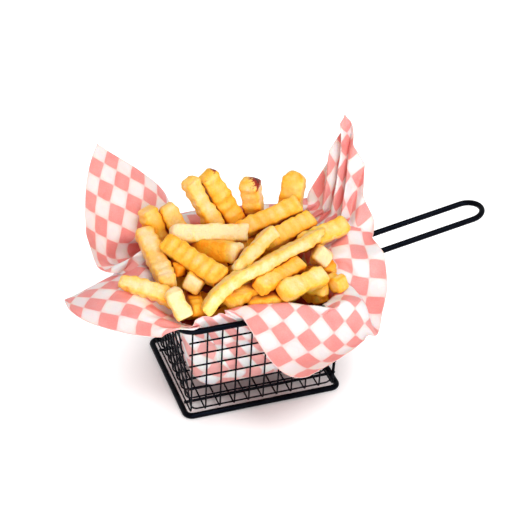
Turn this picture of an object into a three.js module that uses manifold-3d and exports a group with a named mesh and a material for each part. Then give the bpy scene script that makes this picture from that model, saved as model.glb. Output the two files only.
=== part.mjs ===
// A portion of crinkle-cut fries in a black wire serving basket, on a sheet of checked paper.
//
// Millimetres, +Z up. +X runs along the long side of the basket to its handle, -Y is the front.
// The basket stands on a frame of thick rod, and a net of thin wire is folded up from its floor
// to a second rod round the top. One rod bent to a loop makes the handle. The paper lies in the
// net like a bowl, and its corners stand up or hang out over the top rod.
import * as THREE from 'three';
import { mergeVertices } from 'three/addons/utils/BufferGeometryUtils.js';
import Module from 'manifold-3d';

// ---- rods ----
const ROD = 4;                        // thick rod of the two frames and the handle
const ROD_SIDES = 8;
const CORNER_STEPS = 3;
const FOOT = { halfX: 53.6, halfY: 45.5, corner: 5, z: ROD / 2, middleX: 1.6 };
const RIM = { halfX: 57, halfY: 51, corner: 13, z: 73, middleX: 0 };
const HANDLE = {
  halfGap: 10.8,                      // from the middle line to each rod
  lift: 10.7,                         // degrees that the loop rises
  startX: 61.9, startZ: 75.3,         // where the leg turns into the grip
  legTopX: 61.35, legTopZ: 68, legLean: 5.9, legBottomZ: 9,
  straight: 104,
  bend: 7,
};
const BAR = { thick: 2, y: 31, fromX: -49.6, toX: 52.8, z: 3 };

// ---- net of thin wire ----
const WIRE = 1.2;
const FLOOR = { farX: 48.8, handleX: 51.2, halfY: 44, z: 5 };
const PITCH = 10;
const LEAN = 6.26;                    // degrees that the walls lean out
const HANDLE_SIDE_LEAN = 4.16;        // the same for the wall under the handle
const WALL_FOOT = 1.6;                // along the wall, just clear of the floor
const WALL_TOP = 65.9;                // along the wall, just under the top rod
const TOP_WIRE = 58.8;                // highest cross wire, measured along the wall
const CROSS_WIRES = 6;
const FIRST_Y = -43;                  // floor wire in the front fold, the next one is 12 behind
const SECOND_Y = -31;

// ---- paper ----
const PAPER = 1;                      // solid thickness of the sheet
const OVER_RIM_Z = 78.2;              // height at which the sheet passes over the top rod
const STATION = 16;                    // most degrees between two stations round the sheet
const BULGE = 3;                      // rise of a corner between the rod and the edge
const BOWL = [                        // share of the top outline, height
  { share: 0.93, z: 76 }, { share: 0.905, z: 66 }, { share: 0.84, z: 42 },
  { share: 0.71, z: 21 }, { share: 0.45, z: 9.5 },
];
const BOWL_BOTTOM = 7.2;
const SHEET_EDGE = [                  // outline of the sheet, anticlockwise from the handle side
  { x: 96, y: 0, z: 90 }, { x: 98, y: 15, z: 101 }, { x: 97, y: 26, z: 124 },
  { x: 90, y: 33, z: 149 },
  { x: 86, y: 38, z: 164 },           // tall back corner on the handle side
  { x: 79, y: 43, z: 140 }, { x: 72, y: 48, z: 118 }, { x: 64, y: 53, z: 94 },
  { x: 38, y: 58, z: 86 }, { x: 10, y: 60, z: 83 }, { x: -16, y: 67, z: 83 },
  { x: -29, y: 79, z: 99 }, { x: -51, y: 77, z: 126 },
  { x: -78, y: 67, z: 153 },          // back corner on the far side
  { x: -92, y: 43, z: 134 }, { x: -97, y: 25, z: 117 }, { x: -93, y: 16, z: 101 },
  { x: -74, y: 10, z: 84 }, { x: -108, y: 3, z: 82 },
  { x: -122, y: -20, z: 92 },         // corner that lies out over the far side
  { x: -118, y: -37, z: 91 }, { x: -106, y: -50, z: 89 }, { x: -87, y: -60, z: 86 },
  { x: -70, y: -60, z: 80 }, { x: -54, y: -60, z: 79 }, { x: -36, y: -57, z: 80 },
  { x: -20, y: -58, z: 81 }, { x: -12, y: -76, z: 70 },
  { x: 8, y: -110, z: 68 },           // corner that hangs out over the front
  { x: 34, y: -98, z: 70 }, { x: 58, y: -83, z: 67 }, { x: 77, y: -66, z: 62 },
  { x: 89, y: -48, z: 62 }, { x: 93, y: -30, z: 76 }, { x: 95, y: -15, z: 88 },
];

// ---- fries ----
const HEAP = { gap: 1.3, mouthShare: 0.9, mouthZ: 79, domeShare: 0.55, domeZ: 90, topZ: 95 };
const FRY = 11;                       // side of a fry's square section
const FRY_TIP = 0.8;                  // the free end is a little slimmer
const FRIES = [                       // free end, then the end that is sunk in the heap
  { from: [-25, 40, 132], to: [0, 29, 79] }, { from: [-10, 42, 133], to: [11, 32, 77] },
  { from: [19, 40, 124], to: [24, 25, 71] }, { from: [52, 38, 124], to: [40, 28, 75] },
  { from: [52, 30, 104], to: [-5, 14, 99] }, { from: [56, 14, 101], to: [12, -2, 91] },
  { from: [-43, 14, 107], to: [11, 12, 103] }, { from: [-8, -16, 105], to: [-32, 5, 103] },
  { from: [-64, 28, 105], to: [-46, -22, 92] }, { from: [-54, 38, 115], to: [-40, 27, 76] },
  { from: [-39, 40, 113], to: [-20, 24, 87] }, { from: [-48, 14, 103], to: [-21, -34, 96] },
  { from: [21, -4, 108], to: [-17, -33, 103] }, { from: [58, 0, 98], to: [-16, -38, 98] },
  { from: [-36, -44, 87], to: [-14, -36, 97] }, { from: [76, 4, 99], to: [40, -3, 93] },
  { from: [-84, -6, 93], to: [-46, -31, 88] }, { from: [-56, -31, 92], to: [-42, -42, 86] },
  { from: [-2, -42, 90], to: [36, -13, 85] }, { from: [12, -42, 88], to: [44, -34, 87] },
  { from: [51, -20, 91], to: [39, 18, 87] },
];

const wasm = await Module();
wasm.setup();

// ---------- helpers ----------

const turn = THREE.MathUtils.degToRad;

function geometryOf(positions, index) {
  const geometry = new THREE.BufferGeometry();
  geometry.setAttribute('position', new THREE.Float32BufferAttribute(positions, 3));
  geometry.setIndex(index);
  return geometry;
}

// A rod swept along points. Its flat sides face up, down and sideways on a level run.
function rod(points, closed, size = ROD) {
  const radius = size / 2 / Math.cos(Math.PI / ROD_SIDES);
  const count = points.length;
  const positions = [];
  const index = [];
  points.forEach((point, i) => {
    const before = points[closed ? (i + count - 1) % count : Math.max(i - 1, 0)];
    const after = points[closed ? (i + 1) % count : Math.min(i + 1, count - 1)];
    const into = point.clone().sub(before).normalize();
    const out = after.clone().sub(point).normalize();
    const along = into.clone().add(out).normalize();
    const stretch = 1 / Math.max(along.dot(into.lengthSq() ? into : out), 0.5);
    const bendAxis = into.clone().cross(out);
    const side = acrossOf(points, closed);
    const normal = side.clone().cross(along).normalize();
    for (let k = 0; k < ROD_SIDES; k++) {
      const angle = (k + 0.5) * 2 * Math.PI / ROD_SIDES;
      const corner = side.clone().multiplyScalar(Math.cos(angle) * radius)
        .addScaledVector(normal, Math.sin(angle) * radius);
      if (bendAxis.lengthSq() > 1e-8) {
        const outward = bendAxis.clone().normalize().cross(along);
        corner.addScaledVector(outward, corner.dot(outward) * (stretch - 1));
      }
      positions.push(point.x + corner.x, point.y + corner.y, point.z + corner.z);
    }
  });
  const rings = closed ? count : count - 1;
  for (let i = 0; i < rings; i++) {
    const a = i * ROD_SIDES;
    const b = ((i + 1) % count) * ROD_SIDES;
    for (let k = 0; k < ROD_SIDES; k++) {
      const n = (k + 1) % ROD_SIDES;
      index.push(a + k, a + n, b + n, a + k, b + n, b + k);
    }
  }
  if (!closed) {
    for (let k = 1; k < ROD_SIDES - 1; k++) {
      index.push(0, k + 1, k);
      const last = (count - 1) * ROD_SIDES;
      index.push(last, last + k, last + k + 1);
    }
  }
  return outwardFaces(geometryOf(positions, index));
}

// Every rod here is bent in one plane, so the normal of that plane is one axis of its section.
function acrossOf(points) {
  const first = points[1].clone().sub(points[0]);
  for (let i = 2; i < points.length; i++) {
    const normal = first.clone().cross(points[i].clone().sub(points[0]));
    if (normal.length() > 1) return normal.normalize();
  }
  return new THREE.Vector3(0, 0, 1);
}

function outwardFaces(geometry) {
  const p = geometry.attributes.position;
  const index = geometry.index.array;
  let volume = 0;
  const a = new THREE.Vector3(), b = new THREE.Vector3(), c = new THREE.Vector3();
  for (let i = 0; i < index.length; i += 3) {
    a.fromBufferAttribute(p, index[i]);
    b.fromBufferAttribute(p, index[i + 1]);
    c.fromBufferAttribute(p, index[i + 2]);
    volume += a.dot(b.cross(c));
  }
  if (volume < 0) {
    for (let i = 0; i < index.length; i += 3) [index[i], index[i + 1]] = [index[i + 1], index[i]];
  }
  return geometry;
}

function roundedRectangle({ halfX, halfY, corner, z, middleX }) {
  const points = [];
  const quarters = [[1, 1, 0], [-1, 1, 90], [-1, -1, 180], [1, -1, 270]];
  for (const [sx, sy, start] of quarters) {
    for (let k = 0; k <= CORNER_STEPS; k++) {
      const angle = turn(start + 90 * k / CORNER_STEPS);
      points.push(new THREE.Vector3(middleX + sx * (halfX - corner) + corner * Math.cos(angle),
        sy * (halfY - corner) + corner * Math.sin(angle), z));
    }
  }
  return points;
}

// Distance from the middle to a rounded rectangle's outline in the direction of a point.
function outlineAt(frame, x, y) {
  const far = Math.hypot(x, y);
  const dx = x / far, dy = y / far;
  let inside = 0, outside = frame.halfX + frame.halfY;
  for (let k = 0; k < 40; k++) {
    const middle = (inside + outside) / 2;
    const cx = Math.max(Math.abs(dx * middle) - (frame.halfX - frame.corner), 0);
    const cy = Math.max(Math.abs(dy * middle) - (frame.halfY - frame.corner), 0);
    if (Math.hypot(cx, cy) < frame.corner) inside = middle; else outside = middle;
  }
  return { dx, dy, reach: inside };
}

function solid(geometry) {
  const bare = geometry.clone();
  for (const name of Object.keys(bare.attributes)) if (name !== 'position') bare.deleteAttribute(name);
  const merged = mergeVertices(bare, 1e-4);
  return new wasm.Manifold(new wasm.Mesh({
    numProp: 3,
    vertProperties: new Float32Array(merged.attributes.position.array),
    triVerts: new Uint32Array(merged.index.array),
  }));
}

function geometryFromSolid(body) {
  const mesh = body.getMesh();
  return geometryOf(Array.from(mesh.vertProperties), Array.from(mesh.triVerts));
}

// A flat net: wires at xs and ys, the upright ones running on past the lowest and highest.
// It is a plate of cells between the wires' edges, and the cells in the gaps are left out.
function net(xs, ys, yFrom, yTo) {
  const h = WIRE / 2;
  const columns = xs.flatMap((x) => [x - h, x + h]);
  const rows = [yFrom, ...ys.flatMap((y) => [y - h, y + h]), yTo];
  const filled = (i, j) => i >= 0 && j >= 0 && i < columns.length - 1 && j < rows.length - 1
    && (i % 2 === 0 || j % 2 === 1);
  const positions = [];
  const index = [];
  const seen = new Map();
  const at = (i, j, side) => {
    const key = `${i} ${j} ${side}`;
    if (!seen.has(key)) {
      seen.set(key, positions.length / 3);
      positions.push(columns[i], rows[j], side * h);
    }
    return seen.get(key);
  };
  const quad = (a, b, c, d) => index.push(a, b, c, a, c, d);
  const edge = (i, j, k, l) => quad(at(i, j, -1), at(k, l, -1), at(k, l, 1), at(i, j, 1));
  for (let i = 0; i < columns.length - 1; i++) {
    for (let j = 0; j < rows.length - 1; j++) {
      if (!filled(i, j)) continue;
      quad(at(i, j, 1), at(i + 1, j, 1), at(i + 1, j + 1, 1), at(i, j + 1, 1));
      quad(at(i, j, -1), at(i, j + 1, -1), at(i + 1, j + 1, -1), at(i + 1, j, -1));
      if (!filled(i, j - 1)) edge(i, j, i + 1, j);
      if (!filled(i + 1, j)) edge(i + 1, j, i + 1, j + 1);
      if (!filled(i, j + 1)) edge(i + 1, j + 1, i, j + 1);
      if (!filled(i - 1, j)) edge(i, j + 1, i, j);
    }
  }
  return geometryOf(positions, index);
}

function steps(first, count, pitch) {
  return Array.from({ length: count }, (_, i) => first + i * pitch);
}

function material(color, roughness, metalness) {
  return new THREE.MeshStandardMaterial({ color, roughness, metalness });
}

const basket = new THREE.Group();

function add(name, geometry, look) {
  const mesh = new THREE.Mesh(geometry, look);
  mesh.name = name;
  basket.add(mesh);
  return mesh;
}

// ---------- frames and handle ----------

const coated = () => material(0x15171a, 0.45, 0.3);

add('foot_frame', rod(roundedRectangle(FOOT), true), coated());
add('top_rim', rod(roundedRectangle(RIM), true), coated());

function handlePath() {
  const lift = turn(HANDLE.lift);
  const lean = turn(HANDLE.legLean);
  const down = HANDLE.legTopZ - HANDLE.legBottomZ;
  const foot = [HANDLE.legTopX - Math.tan(lean) * down, HANDLE.legBottomZ];
  const knee = [HANDLE.startX, HANDLE.startZ];
  const legLength = Math.hypot(knee[0] - foot[0], knee[1] - foot[1]);
  const line = [foot];
  for (let k = 0; k <= CORNER_STEPS; k++) {
    const t = k / CORNER_STEPS;
    const back = (1 - t) ** 2 * HANDLE.bend;
    const out = t ** 2 * HANDLE.bend;
    line.push([
      knee[0] + (foot[0] - knee[0]) / legLength * back + Math.cos(lift) * out,
      knee[1] + (foot[1] - knee[1]) / legLength * back + Math.sin(lift) * out,
    ]);
  }
  line.push([knee[0] + Math.cos(lift) * HANDLE.straight, knee[1] + Math.sin(lift) * HANDLE.straight]);
  return line;
}

// The loop isn't flat, because its legs turn down, so each half is swept as one flat bend and
// the half circle of the grip joins them.
function handleLoop() {
  const lift = turn(HANDLE.lift);
  const side = handlePath();
  const gripEnd = side[side.length - 1];
  const half = (sign) => rod(side.map(([x, z]) => new THREE.Vector3(x, sign * HANDLE.halfGap, z)), false);
  const arc = [];
  for (let k = -1; k <= 13; k++) {
    const angle = turn(90 - 15 * k);
    const end = k < 0 || k > 12;
    const forward = end ? -1 : Math.cos(angle) * HANDLE.halfGap;
    const across = end ? (k < 0 ? 1 : -1) * HANDLE.halfGap : Math.sin(angle) * HANDLE.halfGap;
    arc.push(new THREE.Vector3(gripEnd[0] + Math.cos(lift) * forward, across,
      gripEnd[1] + Math.sin(lift) * forward));
  }
  return geometryFromSolid(solid(half(1)).add(solid(half(-1))).add(solid(rod(arc, false))));
}

add('handle_loop', handleLoop(), coated());

for (const [name, y] of [['floor_bar_front', -BAR.y], ['floor_bar_back', BAR.y]]) {
  const ends = [BAR.fromX, BAR.toX].map((x) => new THREE.Vector3(x, y, BAR.z));
  add(name, rod(ends, false, BAR.thick), coated());
}

// ---------- net ----------

const acrossWires = steps(-FLOOR.farX, 11, PITCH);
const mirrored = (wires) => wires.map((x) => -x).reverse();
const depthWires = [FIRST_Y, ...steps(SECOND_Y, 8, PITCH)];
const heightWires = steps(TOP_WIRE - PITCH * (CROSS_WIRES - 1), CROSS_WIRES, PITCH);

const floorNet = add('mesh_floor', net(acrossWires, depthWires, -FLOOR.halfY, FLOOR.halfY), coated());
floorNet.position.z = FLOOR.z;

function wall(name, wires, side, distance, lean = LEAN) {
  const hinge = new THREE.Group();
  const mesh = new THREE.Mesh(net(wires, heightWires, WALL_FOOT, WALL_TOP), coated());
  mesh.name = name;
  mesh.rotation.x = Math.PI / 2 + turn(lean);
  mesh.position.set(0, -distance, FLOOR.z);
  hinge.rotation.z = turn(side);
  hinge.add(mesh);
  basket.add(hinge);
}

wall('mesh_front', acrossWires, 0, FLOOR.halfY);
wall('mesh_back', mirrored(acrossWires), 180, FLOOR.halfY);
wall('mesh_handle_side', depthWires, 90, FLOOR.handleX, HANDLE_SIDE_LEAN);
wall('mesh_far_side', mirrored(depthWires), -90, FLOOR.farX);

// ---------- paper ----------

// Points of the sheet from its outline, over the top rod and down to the middle of the bowl.
function sheetRings() {
  const edge = [];
  SHEET_EDGE.forEach((point, i) => {
    const next = SHEET_EDGE[(i + 1) % SHEET_EDGE.length];
    const swing = Math.atan2(point.x * next.y - point.y * next.x, point.x * next.x + point.y * next.y);
    const parts = Math.ceil(swing / turn(STATION));
    for (let k = 0; k < parts; k++) {
      edge.push({
        x: point.x + (next.x - point.x) * k / parts,
        y: point.y + (next.y - point.y) * k / parts,
        z: point.z + (next.z - point.z) * k / parts,
      });
    }
  });
  const over = edge.map((point) => {
    const { dx, dy, reach } = outlineAt(RIM, point.x, point.y);
    return { x: dx * reach, y: dy * reach, z: OVER_RIM_Z };
  });
  const between = (share) => edge.map((point, i) => ({
    x: over[i].x + (point.x - over[i].x) * share,
    y: over[i].y + (point.y - over[i].y) * share,
    z: over[i].z + (point.z - over[i].z) * share + Math.sin(Math.PI * share) * BULGE,
  }));
  const bowl = BOWL.map(({ share, z }) => over.map(({ x, y }) => ({ x: x * share, y: y * share, z })));
  return [edge, between(0.5), over, ...bowl];
}

// A closed shell round the rings, half its thickness to each side of them.
function shell(rings, bottomZ, thickness) {
  const count = rings[0].length;
  const middle = [...rings.flat(), { x: 0, y: 0, z: bottomZ }].flatMap(({ x, y, z }) => [x, y, z]);
  const faces = [];
  for (let r = 0; r + 1 < rings.length; r++) {
    for (let i = 0; i < count; i++) {
      const n = (i + 1) % count;
      faces.push(r * count + i, r * count + n, (r + 1) * count + n);
      faces.push(r * count + i, (r + 1) * count + n, (r + 1) * count + i);
    }
  }
  const centre = rings.length * count;
  for (let i = 0; i < count; i++) {
    faces.push((rings.length - 1) * count + i, (rings.length - 1) * count + (i + 1) % count, centre);
  }
  const sheet = geometryOf(middle, faces);
  sheet.computeVertexNormals();
  const normal = sheet.attributes.normal;
  const sides = [1, -1].map((sign) => middle.map((value, k) => (
    value + sign * thickness / 2 * normal.array[k])));
  const offset = centre + 1;
  const index = [...faces];
  for (let k = 0; k < faces.length; k += 3) {
    index.push(faces[k] + offset, faces[k + 2] + offset, faces[k + 1] + offset);
  }
  for (let i = 0; i < count; i++) {
    const n = (i + 1) % count;
    index.push(i, i + offset, n + offset, i, n + offset, n);
  }
  return outwardFaces(geometryOf([...sides[0], ...sides[1]], index));
}

const sheet = sheetRings();
add('paper_liner', shell(sheet, BOWL_BOTTOM, PAPER), material(0xf2c4be, 0.7, 0));

// ---------- fries ----------

// The packed middle of the heap: the bowl's inside, closed by a low dome. It takes every second
// station of the sheet, so its sides stay inside the bowl.
function heapCore() {
  const coarse = (ring) => ring.filter((_, i) => i % 2 === 0);
  const over = coarse(sheet[2]);
  const level = (share, z) => over.map(({ x, y }) => ({ x: x * share, y: y * share, z }));
  const bowl = sheet.slice(4).map((ring) => coarse(ring).map(({ x, y, z }) => {
    const shrink = 1 - HEAP.gap * 1.6 / Math.hypot(x, y);
    return { x: x * shrink, y: y * shrink, z: z + HEAP.gap };
  }));
  const rings = [level(HEAP.domeShare, HEAP.domeZ), level(HEAP.mouthShare, HEAP.mouthZ), ...bowl];
  const count = over.length;
  const positions = [...rings.flat(), { x: 0, y: 0, z: BOWL_BOTTOM + HEAP.gap + 0.3 },
    { x: 0, y: 0, z: HEAP.topZ }].flatMap(({ x, y, z }) => [x, y, z]);
  const low = rings.length * count;
  const index = [];
  for (let i = 0; i < count; i++) {
    const n = (i + 1) % count;
    for (let r = 0; r + 1 < rings.length; r++) {
      index.push(r * count + i, (r + 1) * count + i, (r + 1) * count + n);
      index.push(r * count + i, (r + 1) * count + n, r * count + n);
    }
    index.push((rings.length - 1) * count + i, low, (rings.length - 1) * count + n);
    index.push(i, n, low + 1);
  }
  return outwardFaces(geometryOf(positions, index));
}

// One cut fry: a square bar, turned a little about its length, slimmer at its free end.
function fry({ from, to }, i) {
  const start = new THREE.Vector3(...from);
  const end = new THREE.Vector3(...to);
  const length = start.distanceTo(end);
  const bar = new THREE.CylinderGeometry(FRY * FRY_TIP / Math.SQRT2, FRY / Math.SQRT2, length, 4);
  bar.rotateY(turn(45 + 25 * (i % 4)));
  const along = start.clone().sub(end).normalize();
  bar.applyQuaternion(new THREE.Quaternion().setFromUnitVectors(new THREE.Vector3(0, 1, 0), along));
  return bar.translate(...start.add(end).multiplyScalar(0.5).toArray());
}

function heap() {
  let body = solid(heapCore());
  FRIES.forEach((piece, i) => { body = body.add(solid(fry(piece, i))); });
  const clear = solid(shell(sheet, BOWL_BOTTOM, PAPER + 0.8));
  const parts = body.subtract(clear).decompose();
  parts.sort((a, b) => b.volume() - a.volume());
  return geometryFromSolid(parts[0]);
}

add('fries_heap', heap(), material(0xf0b53a, 0.55, 0));

// The origin is under the middle of the whole object, on the surface that it stands on.
const box = new THREE.Box3().setFromObject(basket);
const middle = box.getCenter(new THREE.Vector3());
basket.position.set(-middle.x, -middle.y, -box.min.z);

const portion = new THREE.Group();
portion.add(basket);
export default portion;
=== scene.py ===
# A portion of crinkle-cut fries, served in a black wire basket on a sheet of checked paper.
import math

import bmesh
import bpy
import numpy as np
from mathutils import Matrix, Vector
from mathutils.bvhtree import BVHTree


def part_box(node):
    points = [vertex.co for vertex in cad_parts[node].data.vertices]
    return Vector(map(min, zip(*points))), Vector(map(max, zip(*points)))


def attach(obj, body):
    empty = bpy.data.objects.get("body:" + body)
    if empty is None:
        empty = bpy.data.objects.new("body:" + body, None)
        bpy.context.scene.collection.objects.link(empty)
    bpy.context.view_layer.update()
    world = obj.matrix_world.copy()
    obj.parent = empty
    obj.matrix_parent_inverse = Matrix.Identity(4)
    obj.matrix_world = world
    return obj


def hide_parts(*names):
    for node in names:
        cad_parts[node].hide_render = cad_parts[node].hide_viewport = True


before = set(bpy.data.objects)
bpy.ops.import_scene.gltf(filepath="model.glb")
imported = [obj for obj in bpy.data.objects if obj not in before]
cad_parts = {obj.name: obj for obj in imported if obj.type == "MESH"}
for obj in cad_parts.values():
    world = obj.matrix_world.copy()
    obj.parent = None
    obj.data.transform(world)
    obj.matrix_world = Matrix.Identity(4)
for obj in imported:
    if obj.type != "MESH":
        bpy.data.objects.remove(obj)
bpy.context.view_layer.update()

# ----------------------------------------
# Foot frame and top rod. Two lengths of 4 mm mild steel rod, each bent to a rectangle with round
# corners and butt welded. The whole basket is powder coated black after welding.

MM = 0.001
ROD = 4 * MM
FOOT_HALF_X, FOOT_HALF_Y, FOOT_CORNER = 53.6 * MM, 45.5 * MM, 5 * MM
FOOT_SHIFT = 1.6 * MM  # towards the handle, where the floor reaches further out
RIM_HALF_X, RIM_HALF_Y, RIM_CORNER = 57 * MM, 51 * MM, 13 * MM
RIM_Z = 73 * MM
CORNER_STEPS = 8
MERGE = 0.01 * MM
ROD_SMOOTH = math.radians(50)  # edges flatter than this are shaded smooth
TINY, SMALL = 1e-9, 1e-6  # nearly nothing, also to keep a division clear of zero

rim_low, rim_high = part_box("top_rim")
MIDDLE = Vector(((rim_low.x + rim_high.x) / 2, (rim_low.y + rim_high.y) / 2, 0))


class Tone:
    """A socket of a material, which sums and products of other sockets and numbers can use."""

    def __init__(self, tree, socket=None):
        self.tree = tree
        self.socket = socket

    def make(self, kind, settings=None, sockets=None, output=0):
        node = self.tree.nodes.new(kind)
        for name, value in (settings or {}).items():
            setattr(node, name, value)
        for name, value in (sockets or {}).items():
            if isinstance(value, Tone):
                self.tree.links.new(value.socket, node.inputs[name])
            else:
                node.inputs[name].default_value = value
        return Tone(self.tree, node.outputs[output])

    def math(self, operation, *values):
        return self.make("ShaderNodeMath", {"operation": operation}, dict(enumerate(values)))

    def blend(self, low, high):
        """A colour between two others, where this socket is the share of the second."""
        sockets = {"Factor": self, 6: colour_of(low), 7: colour_of(high)}
        return self.make("ShaderNodeMix", {"data_type": "RGBA"}, sockets, output=2)

    def between(self, low, high):
        """0 below low and 1 above high, with a smooth rise from one to the other."""
        sockets = {"Value": self, "From Min": low, "From Max": high}
        return self.make("ShaderNodeMapRange", {"interpolation_type": "SMOOTHSTEP"}, sockets)

    def __add__(self, other):
        return self.math("ADD", self, other)

    def __radd__(self, other):
        return self.math("ADD", other, self)

    def __sub__(self, other):
        return self.math("SUBTRACT", self, other)

    def __rsub__(self, other):
        return self.math("SUBTRACT", other, self)

    def __mul__(self, other):
        return self.math("MULTIPLY", self, other)

    def __rmul__(self, other):
        return self.math("MULTIPLY", other, self)


def colour_of(value):
    return value if isinstance(value, Tone) else (*value, 1)


def new_finish(name, **sockets):
    """An empty material, its tree as a Tone, and its shader with the given sockets set."""
    material = bpy.data.materials.new(name)
    material.use_nodes = True
    shader = material.node_tree.nodes["Principled BSDF"]
    for socket, value in sockets.items():
        shader.inputs[socket.replace("_", " ")].default_value = value
    return material, Tone(material.node_tree), shader


def feed(tree, shader, socket, tone):
    tree.tree.links.new(tone.socket, shader.inputs[socket])


def noise(tree, place, scale, detail=2.0, output=0):
    sockets = {"Vector": place, "Scale": scale, "Detail": detail}
    return tree.make("ShaderNodeTexNoise", None, sockets, output)


def relief(tree, shader, height, distance, strength=1.0):
    sockets = {"Height": height, "Distance": distance, "Strength": strength}
    feed(tree, shader, "Normal", tree.make("ShaderNodeBump", None, sockets))


# Powder coat: satin, near black with a little blue, and faintly pitted like orange peel.
COAT_BLACK, COAT_WORN = (0.0014, 0.0012, 0.0016), (0.0045, 0.0045, 0.006)
PITS, PATCHES = 900.0, 60.0  # to a metre
PIT_DEPTH = 0.06 * MM
coat, tree, shader = new_finish("powder_coat", Specular_IOR_Level=0.055)
shader.inputs["Specular Tint"].default_value = (0.30, 0.52, 1.0, 1)
here = tree.make("ShaderNodeTexCoord", output=3)
grain = noise(tree, here, PITS)
patches = noise(tree, here, PATCHES)
feed(tree, shader, "Base Color", patches.between(0.35, 0.75).blend(COAT_BLACK, COAT_WORN))
feed(tree, shader, "Roughness", 0.20 + patches * 0.14)
relief(tree, shader, grain, PIT_DEPTH)


def only(piece):
    """Leaves one object selected and active."""
    bpy.ops.object.select_all(action="DESELECT")
    piece.select_set(True)
    bpy.context.view_layer.objects.active = piece


def added(name, operation, **settings):
    """A new object from one of the basic shapes, selected by itself."""
    bpy.ops.object.select_all(action="DESELECT")
    operation(**settings)
    bpy.context.object.name = name
    return bpy.context.object


def read(items, field, width=3, kind=float):
    """One field of every vertex, edge or corner of a mesh, as rows."""
    flat = np.empty(len(items) * width, kind)
    items.foreach_get(field, flat)
    return flat.reshape(-1, width)


def lay(piece, places):
    """Puts the points of a mesh at places in millimetres from the middle of the basket."""
    piece.data.vertices.foreach_set("co", (places * MM + np.array(MIDDLE)).ravel())


def bent_rod(name, corners, bends, thickness, closed=False, steps=CORNER_STEPS, sides=4):
    """A round rod through the corners. Each corner is bent to its radius, 0 for a straight end."""
    if len(corners) == 2:
        corners, bends = [corners[0], (corners[0] + corners[1]) / 2, corners[1]], [0, 0, 0]
    piece = added(name, bpy.ops.mesh.primitive_circle_add, vertices=len(corners))
    for vertex, corner in zip(piece.data.vertices, corners):
        vertex.co = corner
    bpy.ops.object.mode_set(mode="EDIT")
    bpy.ops.mesh.select_mode(type="VERT")
    mesh = bmesh.from_edit_mesh(piece.data)
    if not closed:
        mesh.verts.ensure_lookup_table()
        ends = {mesh.verts[0], mesh.verts[len(corners) - 1]}
        for edge in mesh.edges:
            edge.select_set(set(edge.verts) == ends)
        bmesh.update_edit_mesh(piece.data)
        bpy.ops.mesh.delete(type="EDGE_FACE")
    for corner, radius in zip(corners, bends):
        if radius == 0:
            continue
        bpy.ops.mesh.select_all(action="DESELECT")
        mesh = bmesh.from_edit_mesh(piece.data)
        for vertex in mesh.verts:
            vertex.select_set((vertex.co - Vector(corner)).length < MERGE)
        bmesh.update_edit_mesh(piece.data)
        bpy.ops.mesh.bevel(offset=radius, segments=steps, affect="VERTICES")
    bpy.ops.mesh.select_all(action="SELECT")
    bpy.ops.mesh.remove_doubles(threshold=MERGE)
    bpy.ops.object.mode_set(mode="OBJECT")
    bpy.ops.object.convert(target="CURVE")
    rod = bpy.context.object
    rod.data.dimensions = "3D"
    rod.data.bevel_depth = thickness / 2
    rod.data.bevel_resolution = sides
    rod.data.use_fill_caps = True
    bpy.ops.object.convert(target="MESH")
    rod = bpy.context.object
    rod.data.transform(rod.matrix_world)
    rod.matrix_world.identity()
    bpy.ops.object.shade_smooth_by_angle(angle=ROD_SMOOTH)
    return rod


def rectangle(half_x, half_y, z, shift=0):
    """Corners of a level rectangle round the middle of the basket, or shifted along it."""
    signs = [(1, 1), (-1, 1), (-1, -1), (1, -1)]
    return [MIDDLE + Vector((shift + half_x * sx, half_y * sy, z)) for sx, sy in signs]


def steel(piece, *nodes):
    """Coats a piece of the basket and lets it stand for its plain solid."""
    piece.data.materials.clear()
    piece.data.materials.append(coat)
    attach(piece, "root")
    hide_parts(*nodes)


foot = bent_rod("foot_rod", rectangle(FOOT_HALF_X, FOOT_HALF_Y, ROD / 2, FOOT_SHIFT),
                [FOOT_CORNER] * 4, ROD, closed=True, sides=6)
steel(foot, "foot_frame")
rim = bent_rod("top_rod", rectangle(RIM_HALF_X, RIM_HALF_Y, RIM_Z), [RIM_CORNER] * 4, ROD,
               closed=True, sides=6)
steel(rim, "top_rim")

# ----------------------------------------
# Handle. One length of the same rod bent to a long loop. Its two ends turn down and are welded
# to the side of the basket, from just under the top rod to the floor.

HANDLE_HALF_GAP = 10.8 * MM
HANDLE_LIFT = math.radians(10.7)
HANDLE_STRAIGHT = 104 * MM
KNEE_X, KNEE_Z, KNEE_BEND = 61.9 * MM, 75.3 * MM, 7 * MM
LEG_LEAN = math.radians(5.9)
LEG_TOP_X, LEG_TOP_Z, LEG_FOOT_Z = 61.35 * MM, 68 * MM, 9 * MM

leg_foot_x = LEG_TOP_X - math.tan(LEG_LEAN) * (LEG_TOP_Z - LEG_FOOT_Z)
grip_length = HANDLE_STRAIGHT + HANDLE_HALF_GAP
grip_x = KNEE_X + math.cos(HANDLE_LIFT) * grip_length
grip_z = KNEE_Z + math.sin(HANDLE_LIFT) * grip_length
half_loop = [(leg_foot_x, LEG_FOOT_Z, 0), (KNEE_X, KNEE_Z, KNEE_BEND),
             (grip_x, grip_z, HANDLE_HALF_GAP - MERGE)]
loop = [(x, -1, z, bend) for x, z, bend in half_loop]
loop += [(x, 1, z, bend) for x, z, bend in reversed(half_loop)]
handle = bent_rod("handle_rod",
                  [MIDDLE + Vector((x, side * HANDLE_HALF_GAP, z)) for x, side, z, bend in loop],
                  [bend for x, side, z, bend in loop], ROD, steps=14, sides=6)
steel(handle, "handle_loop")

# ----------------------------------------
# Floor bars. Two thin straight rods that are spot welded across the foot frame, front and back,
# and carry the floor of the net.

BAR, BAR_Y, BAR_Z = 2 * MM, 31 * MM, 3 * MM
BAR_ENDS = (-49.6 * MM, 52.8 * MM)

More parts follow.
